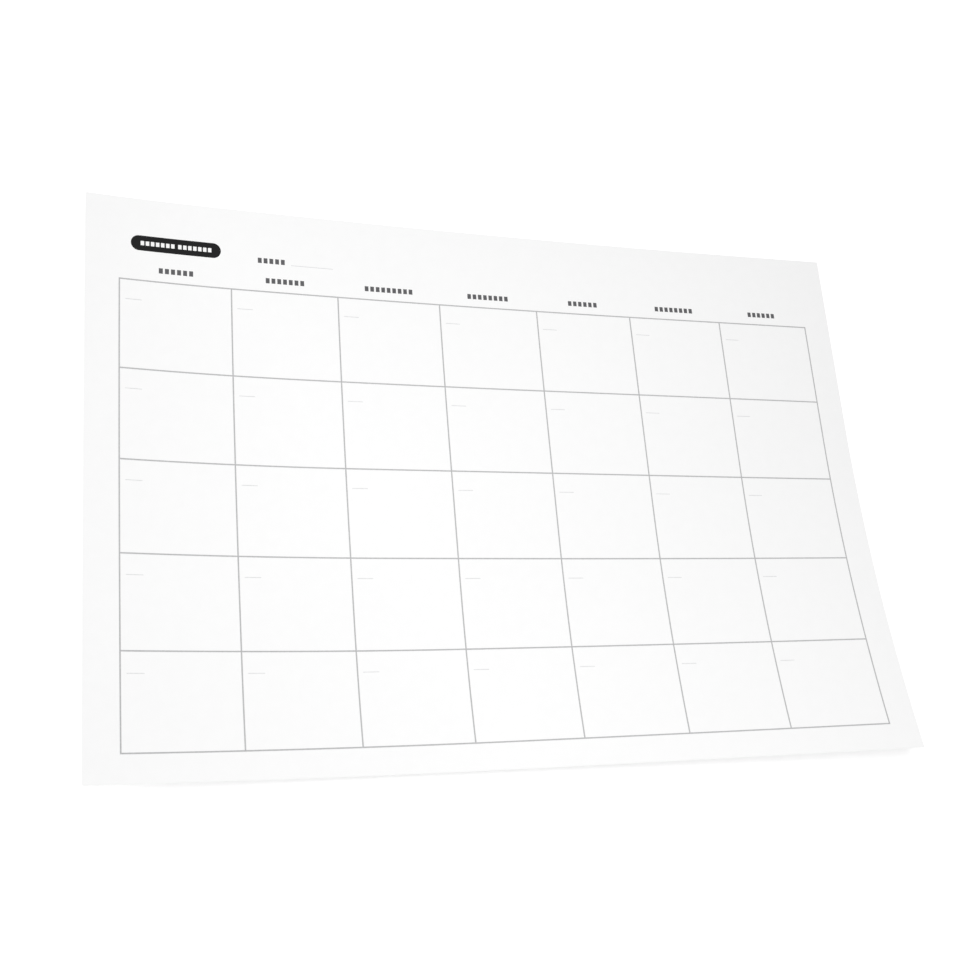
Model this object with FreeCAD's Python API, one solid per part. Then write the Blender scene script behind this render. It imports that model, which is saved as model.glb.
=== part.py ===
import FreeCAD, Part

import math
import os

# A one-sheet wall calendar for a month: a blank grid of days under a heading, printed on one side.
# It lies face up on a table: X along its width, Y up the page, the origin on the table under its middle.
# All sizes are in millimetres and all angles in degrees.

# Paper, with the print let into its face
SHEET_WIDTH = 420.0
SHEET_HEIGHT = 290.0
SHEET_THICKNESS = 0.3
PRINT_DEPTH = 0.1

# The sheet is flat on the table in its middle and lifts towards three of its corners. Each curl starts at a
# straight line. Its angle is the way it climbs, its start is the line's distance from the sheet's middle, and
# its radius is how tightly the paper bends past that line.
TOP_CURL_ANGLE = 122.0
TOP_CURL_START = 33.0
TOP_CURL_RADIUS = 1400.0
SIDE_CURL_ANGLE = 208.0
SIDE_CURL_START = 68.0
SIDE_CURL_RADIUS = 900.0
BOTTOM_CURL_ANGLE = -70.0
BOTTOM_CURL_START = 33.0
BOTTOM_CURL_RADIUS = 710.0
CURLS = (
    (TOP_CURL_ANGLE, TOP_CURL_START, TOP_CURL_RADIUS),
    (SIDE_CURL_ANGLE, SIDE_CURL_START, SIDE_CURL_RADIUS),
    (BOTTOM_CURL_ANGLE, BOTTOM_CURL_START, BOTTOM_CURL_RADIUS),
)

# Grid of days, with its margins measured to the middle of its outer lines
COLUMNS = 7
ROWS = 5
LEFT_MARGIN = 16.6
RIGHT_MARGIN = 15.8
TOP_MARGIN = 43.5
BOTTOM_MARGIN = 13.6
GRID_LINE_WIDTH = 0.7

# Short line for the date in each cell
DATE_LINE_WIDTH = 0.3
DATE_LINE_LENGTH = 8.0
DATE_LINE_INSET = 2.8
DATE_LINE_DROP = 10.4

# Heading. Its words are rows of plain blocks, one for each letter. Its rises are from the grid's top line.
BADGE_LENGTH = 44.8
BADGE_HEIGHT = 8.0
BADGE_INSET = 5.5
BADGE_RISE = 19.9
BADGE_LETTERS = (7, 7)
BADGE_BLOCK_WIDTH = 1.75
BADGE_BLOCK_HEIGHT = 2.3
BADGE_BLOCK_GAP = 0.75
WEEKDAY_LETTERS = (6, 7, 9, 8, 6, 8, 6)
WEEKDAY_RISE = 6.1
MONTH_LETTERS = 5
MONTH_INSET = 69.2
MONTH_RISE = 16.9
MONTH_LINE_GAP = 3.2
MONTH_LINE_LENGTH = 22.3
MONTH_LINE_WIDTH = 0.3
LABEL_BLOCK_WIDTH = 2.0
LABEL_BLOCK_HEIGHT = 2.8
LABEL_BLOCK_GAP = 1.0

CELL_WIDTH = (SHEET_WIDTH - LEFT_MARGIN - RIGHT_MARGIN) / COLUMNS
CELL_HEIGHT = (SHEET_HEIGHT - TOP_MARGIN - BOTTOM_MARGIN) / ROWS
GRID_LEFT = LEFT_MARGIN - SHEET_WIDTH / 2
GRID_RIGHT = SHEET_WIDTH / 2 - RIGHT_MARGIN
GRID_TOP = SHEET_HEIGHT / 2 - TOP_MARGIN
GRID_BOTTOM = BOTTOM_MARGIN - SHEET_HEIGHT / 2

# Half the height of an upright cutting block, and how far a cutting surface or a recess reaches past the paper
TALL = SHEET_WIDTH / 2
OVERHANG = 2.0


def pole_height(curl, x_pair, y_pair):
    """Height of one curl's parabola at the pole that belongs to two X limits and two Y limits."""
    angle, start, radius = curl
    across = math.cos(math.radians(angle))
    along = math.sin(math.radians(angle))
    x = sum(x_pair) / 2
    y = sum(y_pair) / 2
    squares = across**2 * x_pair[0] * x_pair[1] + along**2 * y_pair[0] * y_pair[1] + start**2
    products = across * along * x * y - start * (across * x + along * y)
    return (squares + 2 * products) / (2 * radius)


def curled_surface(curls, area):
    """Underside of the paper where the given curls act, as one face a little larger than an area's box."""
    left, right = area.XMin - OVERHANG, area.XMax + OVERHANG
    bottom, top = area.YMin - OVERHANG, area.YMax + OVERHANG
    if not curls:
        return Part.makePlane(right - left, top - bottom, FreeCAD.Vector(left, bottom, 0))
    patch = Part.BezierSurface()
    patch.increase(2, 2)
    for column, x_pair in enumerate([(left, left), (left, right), (right, right)], 1):
        for row, y_pair in enumerate([(bottom, bottom), (bottom, top), (top, top)], 1):
            height = sum(pole_height(curl, x_pair, y_pair) for curl in curls)
            pole = FreeCAD.Vector(sum(x_pair) / 2, sum(y_pair) / 2, height)
            patch.setPole(column, row, pole)
    return patch.toShape()


def past_start(curl):
    """All the room on the climbing side of a curl's start line."""
    angle, start, _ = curl
    reach = SHEET_WIDTH + SHEET_HEIGHT
    room = Part.makeBox(reach, 2 * reach, 2 * TALL, FreeCAD.Vector(start, -reach, -TALL))
    room.rotate(FreeCAD.Vector(), FreeCAD.Vector(0, 0, 1), angle)
    return room


def curl_zones(block):
    """Splits an upright block at the curls' start lines. Gives each part with the curls that act in it."""
    zones = [((), block)]
    for curl in CURLS:
        room = past_start(curl)
        before = [(curls, part.cut(room)) for curls, part in zones]
        after = [(curls + (curl,), part.common(room)) for curls, part in zones]
        zones = [(curls, part) for curls, part in before + after if part.Solids]
    return zones


def curled_layer(block, low, high):
    """The part of an upright block that lies between two heights over the paper's curled underside."""
    pieces = []
    for curls, zone in curl_zones(block):
        floor = curled_surface(curls, zone.BoundBox)
        floor.translate(FreeCAD.Vector(0, 0, low))
        slab = floor.extrude(FreeCAD.Vector(0, 0, high - low))
        pieces.extend(slab.common(zone).Solids)
    if len(pieces) == 1:
        return pieces[0]
    return pieces[0].multiFuse(pieces[1:]).removeSplitter()


def upright_box(left, bottom, width, height):
    """An upright block with a rectangular outline on the page."""
    return Part.makeBox(width, height, 2 * TALL, FreeCAD.Vector(left, bottom, -TALL))


def line_across(left, right, y, width):
    """A level line, centred on its height."""
    return upright_box(left, y - width / 2, right - left, width)


def line_up(x, bottom, top, width):
    """An upright line, centred on its X."""
    return upright_box(x - width / 2, bottom, width, top - bottom)


def word_width(letters, block_width, gap):
    return letters * block_width + (letters - 1) * gap


def word_blocks(left, y, letters, block_width, block_height, gap):
    """A row of plain blocks, centred on its height."""
    pitch = block_width + gap
    bottom = y - block_height / 2
    return [upright_box(left + i * pitch, bottom, block_width, block_height) for i in range(letters)]


def grid_outline():
    """All lines of the grid as one upright block, with square outer corners."""
    half = GRID_LINE_WIDTH / 2
    lines = []
    for column in range(COLUMNS + 1):
        x = GRID_LEFT + column * CELL_WIDTH
        lines.append(line_up(x, GRID_BOTTOM - half, GRID_TOP + half, GRID_LINE_WIDTH))
    for row in range(ROWS + 1):
        y = GRID_BOTTOM + row * CELL_HEIGHT
        lines.append(line_across(GRID_LEFT - half, GRID_RIGHT + half, y, GRID_LINE_WIDTH))
    return [lines[0].multiFuse(lines[1:]).removeSplitter()]


def date_line_outlines():
    """The short line at the top left of every cell."""
    outlines = []
    for column in range(COLUMNS):
        for row in range(ROWS):
            left = GRID_LEFT + column * CELL_WIDTH + DATE_LINE_INSET
            y = GRID_TOP - row * CELL_HEIGHT - DATE_LINE_DROP
            outlines.append(line_across(left, left + DATE_LINE_LENGTH, y, DATE_LINE_WIDTH))
    return outlines


def badge_outline():
    """The title's black badge with round ends, its words left open so that the paper shows through."""
    radius = BADGE_HEIGHT / 2
    left = GRID_LEFT + BADGE_INSET
    y = GRID_TOP + BADGE_RISE
    badge = line_across(left + radius, left + BADGE_LENGTH - radius, y, BADGE_HEIGHT)
    for x in (left + radius, left + BADGE_LENGTH - radius):
        badge = badge.fuse(Part.makeCylinder(radius, 2 * TALL, FreeCAD.Vector(x, y, -TALL)))
    badge = badge.removeSplitter()
    size = BADGE_BLOCK_WIDTH, BADGE_BLOCK_HEIGHT, BADGE_BLOCK_GAP
    space = BADGE_BLOCK_WIDTH
    widths = [word_width(letters, BADGE_BLOCK_WIDTH, BADGE_BLOCK_GAP) for letters in BADGE_LETTERS]
    x = left + (BADGE_LENGTH - sum(widths) - space * (len(widths) - 1)) / 2
    for letters, width in zip(BADGE_LETTERS, widths):
        badge = badge.cut(word_blocks(x, y, letters, *size))
        x += width + space
    return [badge]


def weekday_outlines():
    """A word over each column, centred on it."""
    outlines = []
    for column in range(COLUMNS):
        letters = WEEKDAY_LETTERS[column % len(WEEKDAY_LETTERS)]
        width = word_width(letters, LABEL_BLOCK_WIDTH, LABEL_BLOCK_GAP)
        left = GRID_LEFT + (column + 0.5) * CELL_WIDTH - width / 2
        size = LABEL_BLOCK_WIDTH, LABEL_BLOCK_HEIGHT, LABEL_BLOCK_GAP
        outlines.extend(word_blocks(left, GRID_TOP + WEEKDAY_RISE, letters, *size))
    return outlines


def month_word_outlines():
    """The word before the line for the month's name."""
    size = LABEL_BLOCK_WIDTH, LABEL_BLOCK_HEIGHT, LABEL_BLOCK_GAP
    return word_blocks(GRID_LEFT + MONTH_INSET, GRID_TOP + MONTH_RISE, MONTH_LETTERS, *size)


def month_line_outline():
    """The line to write the month's name on, level with the foot of the word before it."""
    word = word_width(MONTH_LETTERS, LABEL_BLOCK_WIDTH, LABEL_BLOCK_GAP)
    left = GRID_LEFT + MONTH_INSET + word + MONTH_LINE_GAP
    y = GRID_TOP + MONTH_RISE - LABEL_BLOCK_HEIGHT / 2
    return [line_across(left, left + MONTH_LINE_LENGTH, y, MONTH_LINE_WIDTH)]


PRINT = {
    "grid_lines": grid_outline,
    "date_lines": date_line_outlines,
    "title_badge": badge_outline,
    "weekday_words": weekday_outlines,
    "month_word": month_word_outlines,
    "month_line": month_line_outline,
}


def main():
    os.makedirs("parts", exist_ok=True)
    page = upright_box(-SHEET_WIDTH / 2, -SHEET_HEIGHT / 2, SHEET_WIDTH, SHEET_HEIGHT)
    sheet = curled_layer(page, 0, SHEET_THICKNESS)
    print_floor = SHEET_THICKNESS - PRINT_DEPTH
    recesses = []
    for name, outlines in PRINT.items():
        blocks = outlines()
        fields = [curled_layer(block, print_floor, SHEET_THICKNESS) for block in blocks]
        Part.makeCompound(fields).exportStep(f"parts/{name}.step")
        recesses.extend(curled_layer(block, print_floor, SHEET_THICKNESS + OVERHANG) for block in blocks)
    sheet.cut(recesses).exportStep("parts/sheet.step")


main()
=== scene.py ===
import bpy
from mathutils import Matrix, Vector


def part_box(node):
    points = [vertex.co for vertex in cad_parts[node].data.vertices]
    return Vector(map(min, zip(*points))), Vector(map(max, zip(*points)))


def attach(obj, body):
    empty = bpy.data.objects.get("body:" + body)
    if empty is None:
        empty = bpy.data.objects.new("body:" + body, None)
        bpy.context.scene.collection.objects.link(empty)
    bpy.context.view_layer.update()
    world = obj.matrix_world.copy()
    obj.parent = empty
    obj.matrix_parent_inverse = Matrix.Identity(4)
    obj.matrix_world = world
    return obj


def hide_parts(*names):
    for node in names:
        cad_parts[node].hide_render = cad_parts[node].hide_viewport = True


bl_info = {
    "name": "Wall calendar sheet",
    "version": (1, 0, 0),
    "blender": (4, 5, 0),
    "location": "3D View > Sidebar > Calendar",
    "description": "Dresses a one-sheet wall calendar: curled poster paper, a ruled month and its heading",
    "category": "Add Mesh",
}

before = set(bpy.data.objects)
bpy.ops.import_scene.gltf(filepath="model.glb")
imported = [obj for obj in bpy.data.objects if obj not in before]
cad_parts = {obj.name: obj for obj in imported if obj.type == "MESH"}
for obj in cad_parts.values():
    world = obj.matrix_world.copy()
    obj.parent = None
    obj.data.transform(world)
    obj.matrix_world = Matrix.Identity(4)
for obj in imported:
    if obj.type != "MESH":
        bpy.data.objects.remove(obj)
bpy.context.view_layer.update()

import math

import bmesh
import bpy
from bpy.props import (
    FloatProperty,
    FloatVectorProperty,
    IntProperty,
    IntVectorProperty,
    PointerProperty,
)
from mathutils import Quaternion, Vector

# The page in the frame: X along the sheet's width, Y up the page, Z up off the table.
MM = 0.001
BODY = "root"
FULL_WHITE = (1, 1, 1)
SHEET_LOW, SHEET_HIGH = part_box("sheet")
GRID_LOW, GRID_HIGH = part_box("grid_lines")
DATES_LOW, DATES_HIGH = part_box("date_lines")
BADGE_LOW, BADGE_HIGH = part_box("title_badge")
WEEKDAYS_LOW, WEEKDAYS_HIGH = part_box("weekday_words")
MONTH_LOW, MONTH_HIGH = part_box("month_word")
MONTH_LINE_LOW, MONTH_LINE_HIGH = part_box("month_line")

# The paper's slight waves across and up the page. Each length is the wave's own over 2 pi. The sways and the
# shift make the waves wander, so that they don't line up.
WAVE_ACROSS = 23 * MM
WAVE_ACROSS_BEND = 41 * MM
WAVE_ACROSS_SWAY = 1.3
WAVE_UP = 19 * MM
WAVE_UP_BEND = 37 * MM
WAVE_UP_SWAY = 0.9
WAVE_UP_SHIFT = 2.0

# Meshes. Points nearer to each other than the weld become one, and edges sharper than the angle stay sharp.
# The badge's outer row of points lies at that share of the way from its middle to its rim.
GRID_MESH_STEP = 5 * MM
SHORT_LINE_MESH_STEP = 3 * MM
BADGE_END_STEPS = 24
BADGE_OUTER_ROW = 0.6
WELD = 0.0005 * MM
SHARP_EDGE = math.radians(40)

# The part of a noise pattern's range that holds nearly all of its values
NOISE_LOW = 0.3
NOISE_HIGH = 0.7

# Camera: the width of its sensor, and how near to it things are still drawn
SENSOR_WIDTH_IN_MM = 36
NEAREST_SEEN = 10 * MM


def linear(hex_colour):
    """Turns an sRGB hex value into the linear colour that a shader reads."""
    channels = [int(hex_colour[i:i + 2], 16) / 255 for i in (0, 2, 4)]
    return [c / 12.92 if c <= 0.04045 else ((c + 0.055) / 1.055) ** 2.4 for c in channels]


def length(name, description, default):
    return FloatProperty(name=name, description=description, default=default, unit="LENGTH", precision=5)


def angle(name, description, degrees):
    return FloatProperty(name=name, description=description, default=math.radians(degrees), subtype="ANGLE")


def colour(name, description, hex_colour):
    shown = linear(hex_colour)
    return FloatVectorProperty(name=name, description=description, default=shown, subtype="COLOR")


class PaperSettings(bpy.types.PropertyGroup):
    """Size, curl and finish of the sheet"""

    width: length("Width", "Width of the sheet", SHEET_HIGH.x - SHEET_LOW.x)
    height: length("Height", "Height of the sheet, up the page", SHEET_HIGH.y - SHEET_LOW.y)
    thickness: length("Thickness", "Thickness of the poster paper", 0.3 * MM)
    top_curl_angle: angle("Top curl angle", "The way the top left corner climbs, from +X", 122)
    top_curl_start: length("Top curl start", "From the middle to where this curl begins", 33 * MM)
    top_curl_radius: length("Top curl radius", "Radius of the top left curl", 1400 * MM)
    side_curl_angle: angle("Side curl angle", "The way the left side climbs, from +X", 208)
    side_curl_start: length("Side curl start", "From the middle to where this curl begins", 68 * MM)
    side_curl_radius: length("Side curl radius", "Radius of the left curl", 900 * MM)
    bottom_curl_angle: angle("Bottom curl angle", "The way the bottom edge climbs, from +X", -70)
    bottom_curl_start: length("Bottom curl start", "From the middle to where this curl begins", 33 * MM)
    bottom_curl_radius: length("Bottom curl radius", "Radius of the bottom curl", 710 * MM)
    cockle: length("Cockle", "Height of the slight waves that handled paper has", 0.04 * MM)
    mesh_step: length("Mesh step", "Spacing of the sheet's mesh points", 2.5 * MM)
    white: colour("Paper white", "Colour of the printed face and the back", "FAFAFA")
    edge_white: colour("Edge white", "Colour of the cut edges", "E4E3DF")


class PrintSettings(bpy.types.PropertyGroup):
    """Sizes and colours of the print"""

    rise: length("Ink height", "How far the ink stands above the paper", 0.03 * MM)
    columns: IntProperty(name="Columns", description="Days in a row of the grid", default=7, min=1)
    rows: IntProperty(name="Rows", description="Weeks in the grid", default=5, min=1)
    grid_line: length("Grid line", "Width of the ruled lines", 0.7 * MM)
    date_line: length("Date line", "Width of the short line in each cell", 0.3 * MM)
    date_length: length("Date line length", "Length of the short line in each cell", 8 * MM)
    month_line: length("Month line", "Width of the line for the month's name", 0.3 * MM)
    block_width: length("Block width", "Width of one block of a word", 2.0 * MM)
    block_gap: length("Block gap", "Gap between the blocks of a word", 1.0 * MM)
    badge_block_width: length("Badge block width", "Width of one open block in the badge", 1.75 * MM)
    badge_block_height: length("Badge block height", "Height of one open block in the badge", 2.3 * MM)
    badge_block_gap: length("Badge block gap", "Gap between the open blocks in the badge", 0.75 * MM)
    badge_words: IntVectorProperty(
        name="Badge words", description="Blocks in each word of the badge", default=(7, 7), size=2,
    )
    weekday_words: IntVectorProperty(
        name="Weekday words", description="Blocks in each weekday's word",
        default=(6, 7, 9, 8, 6, 8, 6), size=7,
    )
    month_word: IntProperty(
        name="Month word", description="Blocks in the word before the month's line", default=5,
    )
    black: colour("Black", "Ink of the badge", "0E0E0F")
    dark_grey: colour("Dark grey", "Ink of the weekdays and the month", "606062")
    mid_grey: colour("Mid grey", "Ink of the ruled grid", "BCBCBD")
    pale_grey: colour("Pale grey", "Ink of the lines that are written on", "DCDCDD")


class StageSettings(bpy.types.PropertyGroup):
    """Camera, light and floor"""

    camera_place: FloatVectorProperty(
        name="Camera place", description="Where the camera stands", subtype="TRANSLATION",
        default=(-234.5 * MM, -223.5 * MM, 657.6 * MM),
    )
    camera_aim: FloatVectorProperty(
        name="Camera aim", description="The place on the table in the middle of the picture",
        subtype="TRANSLATION", default=(-12.2 * MM, 3.9 * MM, 0),
    )
    camera_turn: angle("Camera turn", "Turn of the camera about its line of sight", 42.5)
    lens: FloatProperty(name="Lens", description="Focal length on a 36 mm wide sensor, in mm", default=53.1)
    room_light: FloatProperty(
        name="Room light", description="Strength of the room's light from overhead", default=0.61,
    )
    room_side: FloatProperty(
        name="Room side", description="How much stronger the room's light is from -X than from overhead",
        default=0.5,
    )
    lamp_place: FloatVectorProperty(
        name="Lamp place", description="Where the soft lamp hangs, facing the middle of the sheet",
        subtype="TRANSLATION", default=(-105 * MM, -11 * MM, 718 * MM),
    )
    lamp_size: length("Lamp size", "Width of the soft lamp's round face", 400 * MM)
    lamp_power: FloatProperty(
        name="Lamp power", description="Power of the soft lamp", default=2.36, unit="POWER",
    )
    floor_white: colour("Floor", "Colour of the floor", "F2F2F2")
    floor_width: length("Floor width", "Width of the square floor", 12)
    floor_lift: FloatProperty(
        name="Floor lift", description="Light that the floor adds where it is seen, to show as white",
        default=0.46,
    )


def settings():
    """The groups of settings for the paper, the print and the stage."""
    scene = bpy.context.scene
    return scene.calendar_paper, scene.calendar_print, scene.calendar_stage


def paper_height(x, y):
    """Height of the paper's underside over the table: the curls past their start lines, and slight waves."""
    paper = bpy.context.scene.calendar_paper
    rise = 0.0
    for end in ("top", "side", "bottom"):
        climb = getattr(paper, f"{end}_curl_angle")
        start = getattr(paper, f"{end}_curl_start")
        radius = getattr(paper, f"{end}_curl_radius")
        past = max(0.0, x * math.cos(climb) + y * math.sin(climb) - start)
        rise += past**2 / (2 * radius)
    across = math.sin(x / WAVE_ACROSS + WAVE_ACROSS_SWAY * math.sin(y / WAVE_ACROSS_BEND))
    up = math.sin(y / WAVE_UP + WAVE_UP_SWAY * math.sin(x / WAVE_UP_BEND) + WAVE_UP_SHIFT)
    return rise + paper.cockle * (2 + across + up) / 4


def steps(start, end, step):
    """Evenly spaced values from start to end, no further apart than a step."""
    count = max(1, math.ceil((end - start) / step))
    return [start + (end - start) * i / count for i in range(count + 1)]


def drape(mesh, across, along, low, high, filled=None, place=None):
    """Adds a closed slab to a mesh, over the filled cells of a lattice on the page.
    Low and high are heights over the paper's underside. The top's faces get material 0, the bottom's 1 and
    the sides' 2."""
    corners = {}

    def corner(i, j, height):
        if (i, j, height) not in corners:
            x, y = place(across[i], along[j]) if place else (across[i], along[j])
            corners[i, j, height] = mesh.verts.new((x, y, paper_height(x, y) + height))
        return corners[i, j, height]

    def face(places, material):
        mesh.faces.new([corner(i, j, height) for i, j, height in places]).material_index = material

    def is_filled(i, j):
        if not (0 <= i < len(across) - 1 and 0 <= j < len(along) - 1):
            return False
        return not filled or filled((across[i] + across[i + 1]) / 2, (along[j] + along[j + 1]) / 2)

    cells = {(i, j) for i in range(len(across) - 1) for j in range(len(along) - 1) if is_filled(i, j)}
    for i, j in sorted(cells):
        ring = [(i, j), (i + 1, j), (i + 1, j + 1), (i, j + 1)]
        face([(a, b, high) for a, b in ring], 0)
        face([(a, b, low) for a, b in reversed(ring)], 1)
        beside = [(i, j - 1), (i + 1, j), (i, j + 1), (i - 1, j)]
        for side, neighbour in enumerate(beside):
            if neighbour not in cells:
                a, b = ring[side], ring[(side + 1) % 4]
                face([(*a, low), (*b, low), (*b, high), (*a, high)], 2)


def make_piece(name, mesh, materials, node):
    """Turns a finished mesh into a piece that stands for a CAD node."""
    bmesh.ops.remove_doubles(mesh, verts=mesh.verts, dist=WELD)
    bmesh.ops.recalc_face_normals(mesh, faces=mesh.faces)
    data = bpy.data.meshes.new(name)
    mesh.to_mesh(data)
    mesh.free()
    for material in materials:
        data.materials.append(material)
    data.shade_smooth()
    data.set_sharp_from_angle(angle=SHARP_EDGE)
    piece = bpy.data.objects.new(name, data)
    bpy.context.scene.collection.objects.link(piece)
    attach(piece, BODY)
    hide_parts(node)
    return piece


def add_node(tree, kind, inputs=None, **options):
    """Adds a shader node. Each input is given a value, or the output that feeds it."""
    node = tree.nodes.new(kind)
    for name, value in options.items():
        setattr(node, name, value)
    for name, value in (inputs or {}).items():
        if isinstance(value, bpy.types.NodeSocket):
            tree.links.new(value, node.inputs[name])
        else:
            node.inputs[name].default_value = value
    return node


def new_material(name):
    material = bpy.data.materials.new(name)
    material.use_nodes = True
    material.node_tree.nodes.clear()
    return material, material.node_tree


def rgba(colour_value, share=1.0):
    """A colour as four channels, brightened or darkened by a share."""
    return [channel * share for channel in colour_value] + [1.0]


def grain(tree, size, detail=3.0, stretch=(1, 1, 1)):
    """Noise with specks of about that size, in metres. A share over 1 presses them flat along its axis."""
    place = add_node(tree, "ShaderNodeTexCoord").outputs["Object"]
    scaled = add_node(tree, "ShaderNodeVectorMath", {0: place, 1: stretch}, operation="MULTIPLY")
    pattern = {"Vector": scaled.outputs["Vector"], "Scale": 1 / size, "Detail": detail}
    return add_node(tree, "ShaderNodeTexNoise", pattern).outputs["Fac"]


def blend_by(tree, factor, low, high):
    """A colour that runs from one to another as the factor runs over the middle of its range."""
    middle = {"Value": factor, "From Min": NOISE_LOW, "From Max": NOISE_HIGH}
    ranged = add_node(tree, "ShaderNodeMapRange", middle)
    mixed = add_node(tree, "ShaderNodeMix", {"Factor": ranged.outputs["Result"]}, data_type="RGBA")
    mixed.inputs["A"].default_value = low
    mixed.inputs["B"].default_value = high
    return mixed.outputs["Result"]


def finish_surface(tree, base, bump_height, bump_depth, roughness, shine):
    """Principled surface with a base colour, a fine relief of that depth in metres, and a share of gloss."""
    bump = add_node(tree, "ShaderNodeBump", {"Height": bump_height, "Distance": bump_depth, "Strength": 1.0})
    finish = {
        "Base Color": base,
        "Roughness": roughness,
        "Specular IOR Level": shine,
        "Normal": bump.outputs["Normal"],
    }
    shader = add_node(tree, "ShaderNodeBsdfPrincipled", finish)
    add_node(tree, "ShaderNodeOutputMaterial", {"Surface": shader.outputs["BSDF"]})


def coated_poster_paper(white):
    """Calendered, coated poster paper: smooth matt white, with faint clouds where the pulp is thinner."""
    material, tree = new_material("coated_poster_paper")
    clouds = grain(tree, size=6 * MM)
    base = blend_by(tree, clouds, low=rgba(white, share=0.988), high=rgba(white))
    # A coating's tooth is near 0.05 mm, too fine for the picture, so it is drawn at 0.6 mm.
    tooth = grain(tree, size=0.6 * MM)
    finish_surface(tree, base, tooth, bump_depth=0.004 * MM, roughness=0.55, shine=0.4)
    return material


def guillotined_edge(white):
    """Edge of paper cut by a guillotine: bare fibre without the coating, greyer and in fine level streaks."""
    material, tree = new_material("guillotined_paper_edge")
    streaks = grain(tree, size=1.2 * MM, stretch=(1, 1, 12))
    base = blend_by(tree, streaks, low=rgba(white, share=0.86), high=rgba(white))
    fibres = grain(tree, size=0.2 * MM)
    finish_surface(tree, base, fibres, bump_depth=0.02 * MM, roughness=0.85, shine=0.2)
    return material


def offset_print(name, ink, roughness):
    """Offset ink on coated paper: it dries to a dead matt and its film is a little uneven in density.
    An ink that an earlier step has made is used again."""
    if name in bpy.data.materials:
        return bpy.data.materials[name]
    material, tree = new_material(name)
    density = grain(tree, size=0.9 * MM, detail=4)
    base = blend_by(tree, density, low=rgba(ink, share=0.9), high=rgba(ink, share=1.06))
    tooth = grain(tree, size=0.6 * MM)
    finish_surface(tree, base, tooth, bump_depth=0.003 * MM, roughness=roughness, shine=0.15)
    return material


def painted_board(white, lift):
    """Matt white painted board under the sheet. It is seen as white, with the sheet's shadow on it."""
    material, tree = new_material("matt_painted_board")
    roller_marks = grain(tree, size=40 * MM)
    base = blend_by(tree, roller_marks, low=rgba(white, share=0.99), high=rgba(white))
    board = add_node(tree, "ShaderNodeBsdfDiffuse", {"Color": base})
    glow = add_node(tree, "ShaderNodeEmission", {"Color": rgba(FULL_WHITE), "Strength": lift})
    lifted = add_node(tree, "ShaderNodeAddShader")
    tree.links.new(board.outputs["BSDF"], lifted.inputs[0])
    tree.links.new(glow.outputs["Emission"], lifted.inputs[1])
    choice = add_node(tree, "ShaderNodeMixShader", {"Fac": seen_directly(tree)})
    tree.links.new(board.outputs["BSDF"], choice.inputs[1])
    tree.links.new(lifted.outputs["Shader"], choice.inputs[2])
    add_node(tree, "ShaderNodeOutputMaterial", {"Surface": choice.outputs["Shader"]})
    return material


def seen_directly(tree):
    """1 for what is seen, straight or by way of gloss or glass, and 0 for the light that falls on things."""
    rays = add_node(tree, "ShaderNodeLightPath")
    seen = rays.outputs["Is Camera Ray"]
    for name in ("Is Glossy Ray", "Is Transmission Ray"):
        either = add_node(tree, "ShaderNodeMath", {0: seen, 1: rays.outputs[name]}, operation="MAXIMUM")
        seen = either.outputs["Value"]
    return seen


class CALENDAR_OT_paper(bpy.types.Operator):
    """Makes the curled sheet, with its printed face, its plain back and its cut edges"""

    bl_idname = "calendar.paper"
    bl_label = "Sheet of paper"

    def execute(self, context):
        paper, _, _ = settings()
        mesh = bmesh.new()
        across = steps(-paper.width / 2, paper.width / 2, paper.mesh_step)
        along = steps(-paper.height / 2, paper.height / 2, paper.mesh_step)
        drape(mesh, across, along, 0.0, paper.thickness)
        face = coated_poster_paper(paper.white)
        edge = guillotined_edge(paper.edge_white)
        make_piece("poster_sheet", mesh, [face, face, edge], "sheet")
        return {"FINISHED"}


def drape_print(mesh, across, along, filled=None, place=None):
    """A film of ink that stands a little above the paper and reaches as far into it, so that no gap shows."""
    paper, ink, _ = settings()
    drape(mesh, across, along, paper.thickness - ink.rise, paper.thickness + ink.rise, filled, place)


def line_edges(first, last, count, line_width):
    """Middles of evenly spaced lines, and lattice values for both edges of each and the way between them."""
    middles = [first + (last - first) * i / (count - 1) for i in range(count)]
    values = []
    for middle, after in zip(middles, middles[1:] + [None]):
        values.append(middle - line_width / 2)
        values.append(middle + line_width / 2)
        if after is not None:
            values.extend(steps(values[-1], after - line_width / 2, GRID_MESH_STEP)[1:-1])
    return middles, values


class CALENDAR_OT_grid(bpy.types.Operator):
    """Prints the ruled grid of days and the short line for the date in each cell"""

    bl_idname = "calendar.grid"
    bl_label = "Ruled grid"

    def execute(self, context):
        _, ink, _ = settings()
        half = ink.grid_line / 2
        left, right = GRID_LOW.x + half, GRID_HIGH.x - half
        bottom, top = GRID_LOW.y + half, GRID_HIGH.y - half
        columns, across = line_edges(left, right, ink.columns + 1, ink.grid_line)
        rows, along = line_edges(bottom, top, ink.rows + 1, ink.grid_line)

        def on_a_line(x, y):
            return any(abs(x - c) < half for c in columns) or any(abs(y - r) < half for r in rows)

        mesh = bmesh.new()
        drape_print(mesh, across, along, on_a_line)
        grey = offset_print("mid_grey_offset_print", ink.mid_grey, roughness=0.6)
        make_piece("ruled_grid", mesh, [grey], "grid_lines")

        mesh = bmesh.new()
        inset = DATES_LOW.x - left
        drop = top - DATES_HIGH.y + ink.date_line / 2
        for column in columns[:-1]:
            for row in rows[1:]:
                middle = row - drop
                across = steps(column + inset, column + inset + ink.date_length, SHORT_LINE_MESH_STEP)
                drape_print(mesh, across, [middle - ink.date_line / 2, middle + ink.date_line / 2])
        pale = offset_print("pale_grey_offset_print", ink.pale_grey, roughness=0.6)
        make_piece("date_rules", mesh, [pale], "date_lines")
        return {"FINISHED"}


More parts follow.
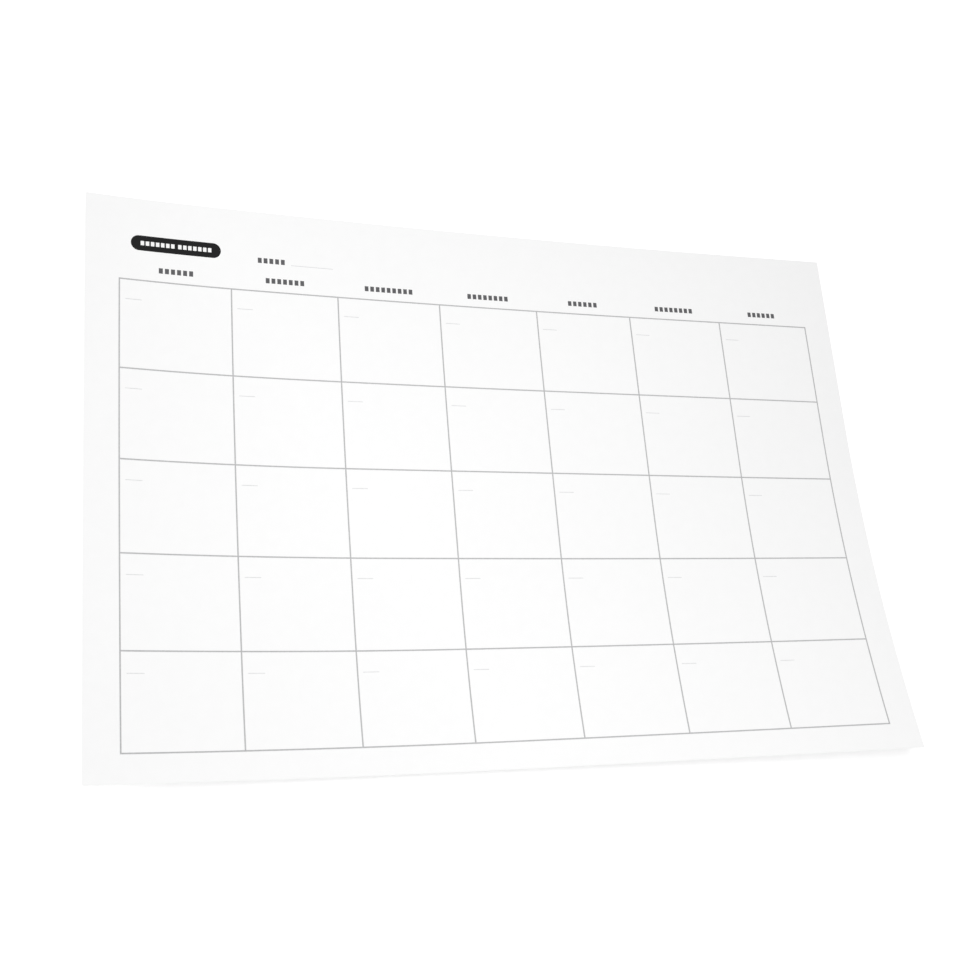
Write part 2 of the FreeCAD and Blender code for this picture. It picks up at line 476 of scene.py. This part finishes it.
def word_spans(middle, letters, block, gap):
    """Left and right edge of each block of a word, centred on a place."""
    start = middle - (letters * block + (letters - 1) * gap) / 2
    return [(start + i * (block + gap), start + i * (block + gap) + block) for i in range(letters)]


def drape_words(mesh, spans, bottom, top):
    for left, right in spans:
        drape_print(mesh, [left, right], [bottom, top])


class CALENDAR_OT_heading(bpy.types.Operator):
    """Prints the title's black badge, the word over each column, and the month's word and line"""

    bl_idname = "calendar.heading"
    bl_label = "Heading"

    def execute(self, context):
        _, ink, _ = settings()
        self.print_badge(ink)
        dark = offset_print("dark_grey_offset_print", ink.dark_grey, roughness=0.55)

        mesh = bmesh.new()
        half = ink.grid_line / 2
        left, right = GRID_LOW.x + half, GRID_HIGH.x - half
        cell = (right - left) / ink.columns
        for column in range(ink.columns):
            letters = ink.weekday_words[column % len(ink.weekday_words)]
            spans = word_spans(left + (column + 0.5) * cell, letters, ink.block_width, ink.block_gap)
            drape_words(mesh, spans, WEEKDAYS_LOW.y, WEEKDAYS_HIGH.y)
        make_piece("weekday_blocks", mesh, [dark], "weekday_words")

        mesh = bmesh.new()
        middle = (MONTH_LOW.x + MONTH_HIGH.x) / 2
        spans = word_spans(middle, ink.month_word, ink.block_width, ink.block_gap)
        drape_words(mesh, spans, MONTH_LOW.y, MONTH_HIGH.y)
        make_piece("month_blocks", mesh, [dark], "month_word")

        mesh = bmesh.new()
        middle = (MONTH_LINE_LOW.y + MONTH_LINE_HIGH.y) / 2
        across = steps(MONTH_LINE_LOW.x, MONTH_LINE_HIGH.x, SHORT_LINE_MESH_STEP)
        drape_print(mesh, across, [middle - ink.month_line / 2, middle + ink.month_line / 2])
        pale = offset_print("pale_grey_offset_print", ink.pale_grey, roughness=0.6)
        make_piece("month_rule", mesh, [pale], "month_line")
        return {"FINISHED"}

    def print_badge(self, ink):
        """A bar with round ends. Its words are open blocks, where the white paper shows."""
        left, right = BADGE_LOW.x, BADGE_HIGH.x
        middle = (BADGE_LOW.y + BADGE_HIGH.y) / 2
        radius = (BADGE_HIGH.y - BADGE_LOW.y) / 2
        word_gap = ink.badge_block_width
        widths = [n * ink.badge_block_width + (n - 1) * ink.badge_block_gap for n in ink.badge_words]
        start = (left + right - sum(widths) - word_gap * (len(widths) - 1)) / 2
        blocks = []
        for letters, width in zip(ink.badge_words, widths):
            blocks += word_spans(start + width / 2, letters, ink.badge_block_width, ink.badge_block_gap)
            start += width + word_gap
        bends = [i / BADGE_END_STEPS * math.pi / 2 for i in range(BADGE_END_STEPS + 1)]
        round_start = [left + radius * (1 - math.cos(bend)) for bend in bends]
        round_end = [right - radius * (1 - math.cos(bend)) for bend in reversed(bends)]
        straight = [edge for block in blocks for edge in block]
        across = round_start + straight + round_end
        share = ink.badge_block_height / 2 / radius
        along = [-1, -BADGE_OUTER_ROW, -share, share, BADGE_OUTER_ROW, 1]

        def is_ink(x, level):
            return abs(level) > share or not any(a < x < b for a, b in blocks)

        def place(x, level):
            into_end = max(0.0, left + radius - x, x - right + radius)
            reach = math.sqrt(max(0.0, radius**2 - into_end**2))
            return x, middle + level * reach

        mesh = bmesh.new()
        drape_print(mesh, across, along, is_ink, place)
        black = offset_print("black_offset_print", ink.black, roughness=0.55)
        make_piece("title_badge_print", mesh, [black], "title_badge")


class CALENDAR_OT_stage(bpy.types.Operator):
    """Sets up the floor, the room's light, the soft lamp and the camera"""

    bl_idname = "calendar.stage"
    bl_label = "Stage"

    def execute(self, context):
        _, _, stage = settings()
        self.add_floor(stage)
        self.light_room(stage)
        self.add_lamp(stage)
        self.add_camera(stage)
        return {"FINISHED"}

    def add_floor(self, stage):
        bpy.ops.mesh.primitive_plane_add(size=stage.floor_width)
        floor = bpy.context.object
        floor.name = "floor"
        floor.data.materials.append(painted_board(stage.floor_white, stage.floor_lift))

    def light_room(self, stage):
        """White where it is seen. The light that it gives grows evenly from +X to -X, as beside a window."""
        world = bpy.data.worlds.new("studio")
        bpy.context.scene.world = world
        world.use_nodes = True
        tree = world.node_tree
        tree.nodes.clear()
        way = add_node(tree, "ShaderNodeTexCoord").outputs["Generated"]
        to_the_side = add_node(tree, "ShaderNodeSeparateXYZ", {"Vector": way}).outputs["X"]
        fade = {0: to_the_side, 1: -stage.room_side, 2: stage.room_light}
        strength = add_node(tree, "ShaderNodeMath", fade, operation="MULTIPLY_ADD").outputs["Value"]
        light = add_node(tree, "ShaderNodeBackground", {"Color": rgba(FULL_WHITE), "Strength": strength})
        white = add_node(tree, "ShaderNodeBackground", {"Color": rgba(FULL_WHITE), "Strength": 1.0})
        choice = add_node(tree, "ShaderNodeMixShader", {"Fac": seen_directly(tree)})
        tree.links.new(light.outputs["Background"], choice.inputs[1])
        tree.links.new(white.outputs["Background"], choice.inputs[2])
        add_node(tree, "ShaderNodeOutputWorld", {"Surface": choice.outputs["Shader"]})

    def add_lamp(self, stage):
        data = bpy.data.lights.new("soft_lamp", "AREA")
        data.shape = "DISK"
        data.size = stage.lamp_size
        data.energy = stage.lamp_power
        lamp = bpy.data.objects.new("soft_lamp", data)
        lamp.location = stage.lamp_place
        lamp.rotation_mode = "QUATERNION"
        lamp.rotation_quaternion = (-Vector(stage.lamp_place)).to_track_quat("-Z", "Y")
        bpy.context.scene.collection.objects.link(lamp)

    def add_camera(self, stage):
        data = bpy.data.cameras.new("camera")
        data.sensor_width = SENSOR_WIDTH_IN_MM
        data.lens = stage.lens
        data.clip_start = NEAREST_SEEN
        camera = bpy.data.objects.new("camera", data)
        camera.location = stage.camera_place
        sight = Vector(stage.camera_aim) - Vector(stage.camera_place)
        camera.rotation_mode = "QUATERNION"
        camera.rotation_quaternion = sight.to_track_quat("-Z", "Y") @ Quaternion((0, 0, 1), stage.camera_turn)
        bpy.context.scene.collection.objects.link(camera)
        bpy.context.scene.camera = camera
        bpy.context.scene.view_settings.view_transform = "Standard"


class CALENDAR_PT_panel(bpy.types.Panel):
    """Lists the steps that dress the calendar, and its sizes"""

    bl_label = "Wall calendar"
    bl_idname = "CALENDAR_PT_panel"
    bl_space_type = "VIEW_3D"
    bl_region_type = "UI"
    bl_category = "Calendar"

    def draw(self, context):
        for step in STEPS:
            self.layout.operator(step.bl_idname)
        for group in settings():
            box = self.layout.box()
            for name in group.bl_rna.properties.keys():
                if name not in ("rna_type", "name"):
                    box.prop(group, name)


STEPS = (CALENDAR_OT_paper, CALENDAR_OT_grid, CALENDAR_OT_heading, CALENDAR_OT_stage)
GROUPS = {"calendar_paper": PaperSettings, "calendar_print": PrintSettings, "calendar_stage": StageSettings}


def register():
    for group in GROUPS.values():
        bpy.utils.register_class(group)
    for name, group in GROUPS.items():
        setattr(bpy.types.Scene, name, PointerProperty(type=group))
    for step in STEPS:
        bpy.utils.register_class(step)
    bpy.utils.register_class(CALENDAR_PT_panel)


def unregister():
    bpy.utils.unregister_class(CALENDAR_PT_panel)
    for step in reversed(STEPS):
        bpy.utils.unregister_class(step)
    for name, group in GROUPS.items():
        delattr(bpy.types.Scene, name)
        bpy.utils.unregister_class(group)


def main():
    register()
    bpy.ops.calendar.paper()
    bpy.ops.calendar.grid()
    bpy.ops.calendar.heading()
    bpy.ops.calendar.stage()


if __name__ == "__main__":
    main()
